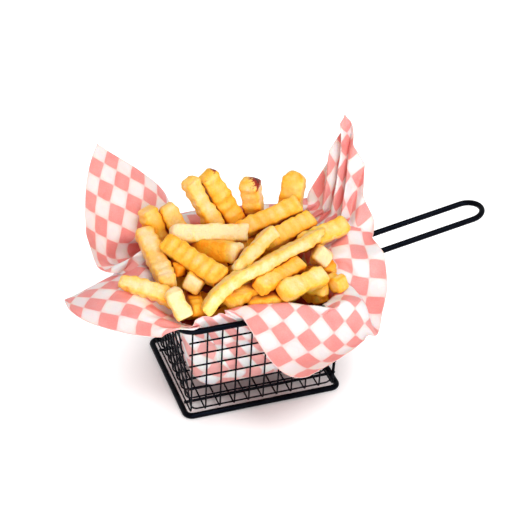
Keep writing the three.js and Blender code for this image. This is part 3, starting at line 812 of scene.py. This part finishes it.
# Each fry: its free end, its buried end, the breadth of its ridged faces and of its smooth ones,
# its turn about its own length in degrees (at 0 a ridged face looks to the front and at 90 a
# smooth one), its middle's sag, how brown it is, and how deep its ridges are.
FRIES = [
    ((-24, 40, 132), (0, 29, 79), 11.0, 11.2, 66, 0, 0.15, 0.7),
    ((-11, 42, 133), (16, 30, 77), 14.0, 11.0, -22, 1, 0.40, 0.7),
    ((19, 40, 124), (24, 25, 71), 13.4, 10.5, 22, 0, 0.08, 0.9),
    ((52, 38, 124), (43, 30, 75), 15.8, 10.5, 18, 0, 0.33, 0.65),
    ((52, 30, 104), (-5, 14, 99), 12.6, 10.0, 20, 1, 0.26, 1.0),
    ((56, 14, 101), (14, 3, 94), 13.6, 10.5, 15, 0, 0.24, 1.0),
    ((-43, 14, 107), (9, 11, 100), 11.0, 12.6, 84, 0, -0.34, 0.3),
    # This fry's brown of 1.00 is mostly painted shade over its body, set off by its painted-light
    # end.
    ((-6, -19, 104.5), (-31, 29, 86), 13.0, 13.6, 78, 0, 1.00, 0.25),
    ((-59, 28, 108), (-55, -21, 91), 11.0, 12.6, 70, 2, 0.06, 0.8),
    ((-53, 38, 115), (-45, 33, 83), 12.0, 12.4, 60, 0, 0.40, 0.8),
    ((-39, 42, 113), (-28, 27, 88), 11.0, 12.4, 80, 0, 0.15, 0.6),
    ((-48, 13, 102), (-21, -34, 96), 14.4, 11.0, -16, 1, 0.38, 1.2),
    ((-44, -14, 96), (-42, 16, 87), 10.0, 10.0, 45, 0, 0.60, 0.8),
    ((22, -4, 108), (-14, -33.5, 101.5), 9.6, 9.4, 80, -1, 0.14, 0.35),
    ((78, 4, 99), (40, -3, 93), 12.2, 10.5, 15, 0, 0.20, 0.9),
    ((-86, -12, 95), (-54, -39, 91), 10.6, 11.0, 68, -1, 0.06, 0.8),
    ((-57, -34, 97), (-52.5, -50, 84), 11.0, 11.2, 78, 0, -0.10, 0.4),
    ((-42, -28, 93), (-25, 5, 81), 11.6, 11.6, 84, 0, 0.26, 0.5),
    ((-42, -43, 83), (-38, -10, 76), 10.0, 10.0, 30, 0, 0.40, 0.8),
    ((-2, -42, 92), (36, -13, 85), 11.0, 11.6, 72, 0, 0.42, 0.7),
    ((13, -44.5, 87), (47, -34, 87), 11.0, 12.6, 76, 1, 0.30, 0.55),
    ((51, -22, 92), (56, 4, 76), 12.0, 12.0, 20, 0, -0.10, 0.5),
    ((56, -28, 83), (58, -4, 69), 10.4, 10.4, 40, 0, 0.30, 0.8),
    ((60, -34, 77), (46, -7, 73), 10.0, 10.0, 55, 0, 0.28, 1.2),
    ((46, -40, 79), (22, -15, 78), 9.6, 9.6, 70, 0, 0.40, 0.9),
    ((-10, -44, 83), (18, -44, 81), 9.6, 9.6, 40, 0, 0.28, 0.9),
    ((-18, -44, 85), (1, -11, 79), 9.6, 9.6, 70, 0, 0.24, 0.9),
    ((7, -38, 83), (32, -7, 78), 9.6, 9.6, 20, 0, 0.40, 0.9),
    ((-24, -42, 85), (5, -33, 86), 9.4, 9.4, 50, 0, 0.34, 0.9),
]
LONG_FRY = [(58, 0, 97.5), (32, -16, 99.8), (7, -30, 100.5), (-15, -39, 99.5), (-29, -45, 95),
            (-40, -49, 85)]
LONG_SIZE = (9.0, 8.2)
LONG_ROLL, LONG_BROWN, LONG_RIDGE = 70, 0.16, 0.4
BURNT_TIPS = {1: 2.8, 2: 7.2}  # mm that the burn spreads from a point on the tip
BURN_INSET = 3.0  # mm from the tip's right side to that point
TAPERED_FRY = 15
# Paler ends: partly the fry's own fresh cut, partly painted light where the end faces the lamps.
PALE_LIT_ENDS = {7: 8.0, 16: 2.0, 17: 2.0, 21: 3.0}  # mm that they reach in from the end
ROUND_TIPS = {0, 1, 2, 3, 16, 20}
LOOSE_FRIES, SEED = 30, 7
TOWARDS_FRONT = np.array([-0.27, -0.80, 0.53])
STOCK, LENGTH_STEP = 11.0, 5
sticks = {}


def cut_stick(length):
    """A straight stick as the blade leaves it, with round edges and a ring about every 1 mm."""
    if length not in sticks:
        stick = added("stick", bpy.ops.mesh.primitive_cube_add, size=STOCK * MM)
        bpy.ops.transform.resize(value=(1, length / STOCK, 1))
        bpy.ops.object.transform_apply(location=False, rotation=False, scale=True)
        bpy.ops.object.mode_set(mode="EDIT")
        bpy.ops.mesh.select_mode(type="EDGE")
        bpy.ops.mesh.select_all(action="SELECT")
        bpy.ops.mesh.bevel(offset=EDGE_ROUND * MM, segments=3)
        rings = max(int((length - 2 * EDGE_ROUND) / RING_STEP) - 1, 1)
        for cuts, shortest, longest in ((1, STOCK / 2, STOCK), (rings, STOCK, math.inf)):
            mesh = bmesh.from_edit_mesh(stick.data)
            for edge in mesh.edges:
                edge.select_set(shortest < edge.calc_length() / MM < longest)
            bmesh.update_edit_mesh(stick.data)
            bpy.ops.mesh.subdivide(number_cuts=cuts)
        bpy.ops.object.mode_set(mode="OBJECT")
        sticks[length] = stick
    return sticks[length]


def lengthwise(points, share):
    """Places along a smooth line through the points, and its directions there."""
    steps = np.linalg.norm(np.diff(points, axis=0), axis=1)
    knots = np.concatenate([[0], np.cumsum(steps)]) / steps.sum()
    slopes = np.gradient(points, knots, axis=0)
    share = np.clip(share, 0, 1)
    i = np.clip(np.searchsorted(knots, share, side="right") - 1, 0, len(knots) - 2)
    gap = (knots[i + 1] - knots[i])[:, None]
    f = (share - knots[i])[:, None] / gap
    a, b, da, db = points[i], points[i + 1], slopes[i] * gap, slopes[i + 1] * gap
    place = (a * (1 + 2 * f) * (1 - f) ** 2 + da * f * (1 - f) ** 2
             + b * f * f * (3 - 2 * f) - db * f * f * (1 - f))
    ahead = ((b - a) * 6 * f * (1 - f) + da * (1 - f) * (1 - 3 * f) + db * f * (3 * f - 2)) / gap
    return place, ahead / np.linalg.norm(ahead, axis=1, keepdims=True)


def lumps(places, rng, sizes, depths):
    """Smooth uneven swelling, as the sum of a few waves in random directions."""
    total = np.zeros(len(places))
    for size, depth in zip(sizes, depths):
        for _ in range(3):
            way = rng.normal(size=3)
            way *= 2 * math.pi / size / np.linalg.norm(way)
            total += depth * np.sin(places @ way + rng.uniform(0, 2 * math.pi)) / 1.7
    return total


def fry(number, line, size, roll, brown, ridged):
    """One fry on its line: ridged, a little uneven, bent, and browned on its edges and ends."""
    rng = np.random.default_rng(SEED * 1000 + number)
    length = np.linalg.norm(np.diff(line, axis=0), axis=1).sum()
    stock = max(round(length / LENGTH_STEP), 3) * LENGTH_STEP
    piece = cut_stick(stock).copy()
    piece.data = piece.data.copy()
    bpy.context.collection.objects.link(piece)
    x, y, z = (read(piece.data.vertices, "co") / MM).T
    y = (y + stock / 2) * length / stock
    side, face = x / (STOCK / 2), z / (STOCK / 2)
    from_end = np.clip(np.minimum(y, length - y), 0, None)
    fade = np.clip(from_end / RIDGE_FADE, 0.3, 1)
    pitch = RIDGE_PITCH * rng.uniform(0.9, 1.1)
    phase, shift = rng.uniform(0, math.pi), rng.choice([0, 0, 0.35, 0.5]) * math.pi
    slant = rng.uniform(-0.12, 0.12)
    turn = math.pi * (y + slant * x) / pitch + phase + np.where(z < 0, shift, 0)
    ridge = 0.5 * np.abs(np.sin(turn)) + 0.5 * np.sin(turn) ** 2
    patchy = 1 + 0.35 * lumps(np.stack([x, y, z], 1), rng, (16,), (1.0,))
    depth = RIDGE_DEPTH * ridged * rng.uniform(0.85, 1.1) * np.clip(patchy, 0.3, 1.4) * fade
    wave = 1 + 0.05 * np.sin(y / length * rng.uniform(3, 7) + rng.uniform(0, 6))
    rounder = np.array([0.2 * (number in ROUND_TIPS), 0])
    round_near, round_far = rng.uniform(0.05, 0.35, 2) + rounder
    blunt = np.where(y < length / 2, round_near, round_far)
    slim = wave * (1 - blunt * np.clip(1 - from_end / BLUNT, 0, 1) ** 2.2)
    if number == TAPERED_FRY:
        slim = slim * (0.55 + 0.45 * np.clip(y / TAPER, 0, 1) ** 0.6)
    swell = lumps(np.stack([x, y, z], 1), rng, (19, 8, 4, 2.4), (0.30, 0.18, 0.09, 0.05))
    dent = 0.35 * np.clip(1 - face ** 2, 0, 1) * np.abs(side)
    x = side * (size[0] / 2 * slim + swell - dent + 0.3 * depth * (ridge - RIDGE_MEAN))
    z = face * (size[1] / 2 * slim + swell + depth * (ridge - RIDGE_MEAN))
    y = y + (lumps(np.stack([x, z, 0 * x], 1), rng, (14,), (0.9,)) * (from_end < BROWN_END))
    place, ahead = lengthwise(np.asarray(line, float), y / length)
    beyond = np.where(y < 0, y, np.where(y > length, y - length, 0))[:, None]
    front = TOWARDS_FRONT - ahead * (ahead @ TOWARDS_FRONT)[:, None]
    front /= np.linalg.norm(front, axis=1, keepdims=True)
    across = np.cross(ahead, front)
    turned = math.radians(roll)
    up = front * math.cos(turned) + across * math.sin(turned)
    out = np.cross(ahead, up)
    places = place + ahead * beyond + out * x[:, None] + up * z[:, None]
    lay(piece, places)
    edges = np.clip((np.abs(side) + np.abs(face) - 1.5) * 2.6, 0, 1)
    on_ridges = np.clip((np.abs(face) - 0.8) * 6, 0, 1) * ridged
    ends = np.clip(1 - from_end / BROWN_END, 0, 1) * rng.uniform(0, 0.5)
    crust = 0.75 * edges * (0.35 + 0.65 * ridge) + on_ridges * (0.10 + 0.30 * (1 - ridge)) + ends
    # Painted light, with the paler cut: the end is lifted towards cream.
    if number in PALE_LIT_ENDS:
        pale_lit_end = np.clip(1.3 - np.clip(y, 0, None) / PALE_LIT_ENDS[number], 0, 1)
        crust, brown = crust * (1 - 0.8 * pale_lit_end), brown * (1 - pale_lit_end) - 0.1 * pale_lit_end
    burn = np.zeros_like(y)
    if number in BURNT_TIPS:
        spread = BURNT_TIPS[number]
        right = places[:, 0] - places[y < 8, 0].max() + BURN_INSET
        burn = np.clip(1.25 - np.hypot(y, right) / spread, 0, 1)
    depth = 0.62 * brown - 0.06 + 0.76 * crust
    tint = np.stack([depth, 0 * y, burn, np.ones_like(y)], 1)
    colour = piece.data.color_attributes.new("browning_and_shade", "FLOAT_COLOR", "POINT")
    colour.data.foreach_set("color", tint.ravel())
    return piece


EASE_ROUNDS = 160
CLOSEST = 0.94  # how near two fries come, as a share of their thickness
BOWL_TOP = 78  # mm
EASE_STEP = 1.5  # mm, the most that a fry moves in a round
# Shares that a round undoes: of a placed fry's drift across TOWARDS_FRONT, of all its drift, and
# of any fry's bend.
PULL_ASIDE, PULL_HOME, STRAIGHTEN = 0.35, 0.03, 0.1


def settled(lines, widths, pinned):
    """The fries' lines after each has been eased off the others and off the lining."""
    count, samples = len(lines), 11
    shares = np.linspace(0.04, 0.96, samples)
    mix = np.stack([(1 - shares) * (1 - 2 * shares), 4 * shares * (1 - shares),
                    shares * (2 * shares - 1)], 1)
    radius = np.repeat(widths / 2, samples)
    owner = np.repeat(np.arange(count), samples)
    apart = (radius[:, None] + radius[None]) * CLOSEST
    apart[owner[:, None] == owner[None]] = 0
    home = lines.copy()
    view = TOWARDS_FRONT / np.linalg.norm(TOWARDS_FRONT)
    for _ in range(EASE_ROUNDS):
        balls = np.einsum("sk,nkd->nsd", mix, lines).reshape(-1, 3)
        gap = balls[:, None] - balls[None]
        far = np.sqrt((gap ** 2).sum(-1)) + SMALL
        overlap = np.clip(apart - far, 0, None)
        push = (gap / far[..., None] * overlap[..., None]).sum(1) * 0.30
        x, y, z = balls.T
        reach, out, dx, dy = rim_reach(x, y)
        low = np.interp((out + radius * 0.8) / reach, BOWL_SHARE, BOWL_HEIGHT)
        in_bowl = z < BOWL_TOP
        rise = np.where(in_bowl, np.clip(low + radius - z, 0, 3), 0)
        push[:, 2] += rise * 0.3
        push[:, 0] -= rise * dx * 0.6
        push[:, 1] -= rise * dy * 0.6
        for i, (ball, r) in enumerate(zip(balls, radius)):
            near, normal = sheet_tree.find_nearest(Vector(ball), r + 3)[:2]
            if near is not None:
                deep = r + 0.4 - (Vector(ball) - near).dot(normal)
                if deep > 0:
                    push[i] += np.array(normal) * min(deep, 4) * 0.4
        move = np.einsum("sk,nsd->nkd", mix, push.reshape(count, samples, 3))
        move /= (mix ** 2).sum(0)[None, :, None] * 0.9
        lines = lines + np.clip(move, -EASE_STEP, EASE_STEP)
        drift = lines - home
        sideways = drift - (drift @ view)[..., None] * view
        lines = lines - sideways * pinned[:, None, None] * PULL_ASIDE
        lines = lines - drift * pinned[:, None, None] * PULL_HOME
        lines[:, 1] += ((lines[:, 0] + lines[:, 2]) / 2 - lines[:, 1]) * STRAIGHTEN
    return lines


LEVELS = (56, 65, 73)  # mm, where the loose fries lie
BACK_RISE = 10  # mm more at the back, but for the lowest

rng = np.random.default_rng(SEED)
lines, sizes, rolls, browns, ridges = [], [], [], [], []
for free, buried, ridged_face, smooth_face, roll, sag, brown, ridged in FRIES:
    sway = np.array([rng.uniform(-1, 1), rng.uniform(-1, 1), -sag])
    middle = (np.array(free) + buried) / 2 + sway
    lines.append([free, middle, buried])
    sizes.append((ridged_face, smooth_face))
    rolls.append(roll)
    browns.append(brown)
    ridges.append(ridged)
for number in range(LOOSE_FRIES):
    level = number % 3
    x, y = rng.uniform(-42, 42), rng.uniform(-34, 36)
    z = LEVELS[level] + BACK_RISE * (y > 0) * (level > 0)
    heading, lift, half = rng.uniform(0, math.pi), rng.uniform(-0.25, 0.25), rng.uniform(16, 28)
    way = np.array([math.cos(heading), math.sin(heading), lift]) * half
    lines.append([(x, y, z) - way, (x, y, z), (x, y, z) + way])
    sizes.append(rng.uniform(9.5, 12.5, 2))
    rolls.append(rng.uniform(0, 90))
    browns.append(rng.uniform(0.35, 0.8))
    ridges.append(rng.uniform(0.6, 1.1))
widths = np.array([sum(size) / 2 for size in sizes])
pinned = np.array([1.0] * len(FRIES) + [0.0] * LOOSE_FRIES)
long_halves = np.array([LONG_FRY[:3], LONG_FRY[3:]], float)
lines = settled(np.concatenate([np.array(lines, float), long_halves]),
                np.append(widths, [sum(LONG_SIZE) / 2] * 2), np.append(pinned, [6.0, 6.0]))[:-2]
reach, out = rim_reach(lines[..., 0], lines[..., 1])[:2]
low = lines[..., 2] < np.where(lines[..., 1] < 5, 79, 92)
kept = (pinned > 0) | ((out < 0.86 * reach) & low).all(1)

fries = [fry(number, *row) for number, row in enumerate(zip(lines, sizes, rolls, browns, ridges))
         if kept[number]]
fries.append(fry(len(fries), np.array(LONG_FRY, float), LONG_SIZE, LONG_ROLL, LONG_BROWN,
                 LONG_RIDGE))
for stick in sticks.values():
    bpy.data.objects.remove(stick)
heap = joined("crinkle_fries", fries)
bpy.ops.object.shade_smooth()

# Fries that lie in a gap or under others, and the undersides of all fries, are darker: painted
# shade, added to their browning. Each point looks for the others along a few directions from its
# surface.
SKY = [(0, 0, 1), (-0.6, -0.5, 0.62), (0.6, -0.5, 0.62), (0, -0.9, 0.44), (-0.8, 0.3, 0.5),
       (0.8, 0.3, 0.5), (0, 0.75, 0.66), (-0.4, -0.9, 0), (0.5, -0.85, 0)]
SKY_REACH = 26 * MM
PAINTED_SHADE_HIDDEN, PAINTED_SHADE_UNDER = 0.54, 0.16  # how much painted shade darkens a hidden point and an underside
GAP_FROM, GAP_WIDTH = 0.48, 0.26  # how hidden a point is where painted shade turns it to a dark gap
count = len(heap.data.vertices)
places = read(heap.data.vertices, "co")
normals = read(heap.data.vertices, "normal")
heap_tree = BVHTree.FromPolygons([Vector(p) for p in places],
                                 [tuple(face.vertices) for face in heap.data.polygons])
sky = np.array(SKY) / np.linalg.norm(SKY, axis=1, keepdims=True)
facing = normals @ sky.T
starts = places + normals * 0.4 * MM
seen, total = np.zeros(count), np.full(count, SMALL)
for k, way in enumerate(sky):
    way_on = Vector(way)
    for i in np.nonzero(facing[:, k] > 0.1)[0]:
        far = heap_tree.ray_cast(Vector(starts[i]), way_on, SKY_REACH)[3]
        seen[i] += facing[i, k] * (1 if far is None else far / SKY_REACH * 0.7)
        total[i] += facing[i, k]
hidden = 1 - np.where(total > 0.01, seen / total, 0)
ends = read(heap.data.edges, "vertices", 2, int)
touching = np.bincount(ends.ravel(), minlength=count)
for _ in range(2):
    near = (np.bincount(ends[:, 0], hidden[ends[:, 1]], count)
            + np.bincount(ends[:, 1], hidden[ends[:, 0]], count))
    hidden = (hidden + near) / (1 + touching)
colours = heap.data.color_attributes["browning_and_shade"].data
tint = read(colours, "color", 4)
# Painted shade: undersides and hidden points are browned, and the most hidden turn dark red.
under = np.clip(0.25 - normals[:, 2], 0, 1)
tint[:, 0] = np.clip(tint[:, 0] + PAINTED_SHADE_HIDDEN * hidden + PAINTED_SHADE_UNDER * under, -1, 1)
tint[:, 1] = np.clip((hidden - GAP_FROM) / GAP_WIDTH, 0, 1)
colours.foreach_set("color", tint.ravel())

CREAM, PALE, GOLD = (1.0, 0.71, 0.39), (1.0, 0.60, 0.165), (1.0, 0.50, 0.036)
AMBER, RUST, CHAR = (1.0, 0.34, 0.004), (0.30, 0.014, 0.004), (0.075, 0.012, 0.003)
PAINTED_SHADE_RED = (0.10, 0.004, 0.004)
FRY_RELIEF = 0.95 * MM
fried, tree, shader = new_finish("fried_potato", Roughness=0.5, Subsurface_Weight=0.5,
                                 Subsurface_Scale=0.003, Specular_IOR_Level=0.35)
shader.inputs["Subsurface Radius"].default_value = (1.0, 0.42, 0.10)
here = tree.make("ShaderNodeTexCoord", output=3)
# The fries' colour attribute: red is browning plus painted shade in gaps and on undersides, green
# is painted shade deep in gaps, and blue is burn.
browning_and_shade = tree.make("ShaderNodeAttribute", {"attribute_name": "browning_and_shade"})
depth = tree.make("ShaderNodeSeparateColor", None, {"Color": browning_and_shade})
deep = Tone(tree.tree, depth.socket.node.outputs[1])
burn = Tone(tree.tree, depth.socket.node.outputs[2])
blotch = noise(tree, here, 110.0, 3.0)
speck = noise(tree, here, 650.0, 2.0)
freckle = noise(tree, here, 380.0, 1.0).between(0.68, 0.76)
depth = depth + (blotch - 0.5) * 0.9 + (speck - 0.5) * 0.18
cream = depth.between(-0.08, 0.26).blend(CREAM, PALE)
gold = depth.between(0.18, 0.60).blend(cream, GOLD)
amber = depth.between(0.45, 0.95).blend(gold, AMBER)
scorch = burn + (blotch - 0.5) * 0.8 + (speck - 0.5) * 1.2
# Burn, freckles and the painted shade of deep gaps turn the fry to RUST.
burn_and_gap_shade = scorch.between(0.3, 0.6) + deep + freckle * 0.15
charred = (burn + (speck - 0.5) * 1.6).between(0.75, 1.05)
feed(tree, shader, "Base Color", charred.blend(burn_and_gap_shade.blend(amber, RUST), CHAR))
feed(tree, shader, "Roughness", 0.60 - speck * 0.22)
relief(tree, shader, noise(tree, here, 420.0, 4.0) + blotch * 0.6, FRY_RELIEF, 0.9)
heap.data.materials.clear()
heap.data.materials.append(fried)
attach(heap, "root")
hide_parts("fries_heap")

# ----------------------------------------
# Middle of the heap. The fries that lie under the ones that show, pressed into one lump that
# fills the lining. It shows only through the gaps between the fries, so it is coloured the dark
# red of painted shade rather than the fries' own gold.

CORE_TOP, CORE_LIFT = 66.0, 2.5  # mm, the second above the lining
CORE_RELIEF = 1.0 * MM
core = added("packed_fries", bpy.ops.mesh.primitive_ico_sphere_add, subdivisions=5, radius=1)
x, y, z = read(core.data.vertices, "co").T
height = BOWL_HEIGHT[0] + CORE_LIFT + (z + 1) / 2 * (CORE_TOP - BOWL_HEIGHT[0])
level = np.interp(height - CORE_LIFT, BOWL_HEIGHT, BOWL_SHARE)
reach, out, dx, dy = rim_reach(x, y)
width = np.minimum(out * 1.5, 1) * reach * (level - 0.06)
top = lumps(np.stack([dx * width, dy * width, height], 1), np.random.default_rng(SEED),
            (26, 12), (2.2, 1.4)) * np.clip((height - 45) / 15, 0, 1)
lay(core, np.stack([dx * width, dy * width, height + top], 1))
bpy.ops.object.shade_smooth()
packed, tree, shader = new_finish("packed_potato_painted_shade", Roughness=0.55)
here = tree.make("ShaderNodeTexCoord", output=3)
# Painted shade: the lump is only dark red and red-brown, as the gaps it shows through are in shade.
shade = noise(tree, here, 90.0, 3.0).between(0.3, 0.7)
feed(tree, shader, "Base Color", shade.blend(PAINTED_SHADE_RED, RUST))
relief(tree, shader, noise(tree, here, 300.0), CORE_RELIEF)
core.data.materials.append(packed)
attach(core, "root")
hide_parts("fries_heap")

# ----------------------------------------
# Table, light and camera. The basket stands on a plain white table top under one large soft
# light from the upper left and a weaker one from the front. The table top glows, and its glow
# fades out under the basket as a painted shadow.

TABLE_WIDTH = 4.0
TABLE_WHITE, TABLE_PALE = (0.80, 0.80, 0.80), (0.82, 0.82, 0.82)
PAINTED_SHADOW_GLOW, GLOW_FAR = (0.02, 0.0, 0.0), (1, 1, 1)

table = added("table_top", bpy.ops.mesh.primitive_plane_add, size=TABLE_WIDTH,
              location=(MIDDLE.x, MIDDLE.y, 0))
table_glow_painted_shadow, tree, shader = new_finish("table_glow_painted_shadow", Roughness=0.6, Emission_Strength=0.60)
here = tree.make("ShaderNodeTexCoord", output=3)
away = tree.make("ShaderNodeVectorMath", {"operation": "LENGTH"}, {0: here}, output=1)
# Painted shadow: the glow fades to nearly nothing within 30 to 110 mm of the middle, under the
# basket.
feed(tree, shader, "Emission Color", away.between(0.03, 0.11).blend(PAINTED_SHADOW_GLOW, GLOW_FAR))
feed(tree, shader, "Base Color", noise(tree, here, 40.0).blend(TABLE_WHITE, TABLE_PALE))
table.data.materials.append(table_glow_painted_shadow)


def soft_light(name, place, size, watts, colour=(1, 1, 1)):
    """A square light that faces the basket."""
    bpy.ops.object.light_add(type="AREA", location=place)
    light = bpy.context.object
    light.name = name
    light.data.size = size
    light.data.energy = watts
    light.data.color = colour
    aim = MIDDLE + Vector((0, 0, 60 * MM)) - Vector(place)
    light.rotation_euler = aim.to_track_quat("-Z", "Y").to_euler()


soft_light("key_light", (0.15, -0.75, 1.35), 0.45, 7.5)
soft_light("front_light", (-0.25, -1.45, 0.55), 0.8, 11)

world = bpy.data.worlds.new("studio")
bpy.context.scene.world = world
world.use_nodes = True
world.node_tree.nodes["Background"].inputs["Color"].default_value = (1, 1, 1, 1)
world.node_tree.nodes["Background"].inputs["Strength"].default_value = 0.63

CAMERA_PLACE = MIDDLE + Vector((-255.8, -778.7, 606.2)) * MM
CAMERA_TURN, CAMERA_RISE, CAMERA_ROLL = (math.radians(a) for a in (-18.896, 32.187, 0.498))
SENSOR, LENS = 36.0, 102.81

back = Vector((math.sin(CAMERA_TURN) * math.cos(CAMERA_RISE),
               -math.cos(CAMERA_TURN) * math.cos(CAMERA_RISE), math.sin(CAMERA_RISE)))
right = Vector((math.cos(CAMERA_TURN), math.sin(CAMERA_TURN), 0))
up = back.cross(right)
tilt_cos, tilt_sin = math.cos(CAMERA_ROLL), math.sin(CAMERA_ROLL)
right, up = tilt_cos * right + tilt_sin * up, tilt_cos * up - tilt_sin * right
bpy.ops.object.camera_add()
camera = bpy.context.object
camera.name = "serving_view"
camera.matrix_world = Matrix((
    (right.x, up.x, back.x, CAMERA_PLACE.x), (right.y, up.y, back.y, CAMERA_PLACE.y),
    (right.z, up.z, back.z, CAMERA_PLACE.z), (0, 0, 0, 1)))
camera.data.sensor_fit = "HORIZONTAL"
camera.data.sensor_width = SENSOR
camera.data.lens = LENS
camera.data.clip_start = 0.01
bpy.context.scene.camera = camera
bpy.context.scene.view_settings.view_transform = "Standard"
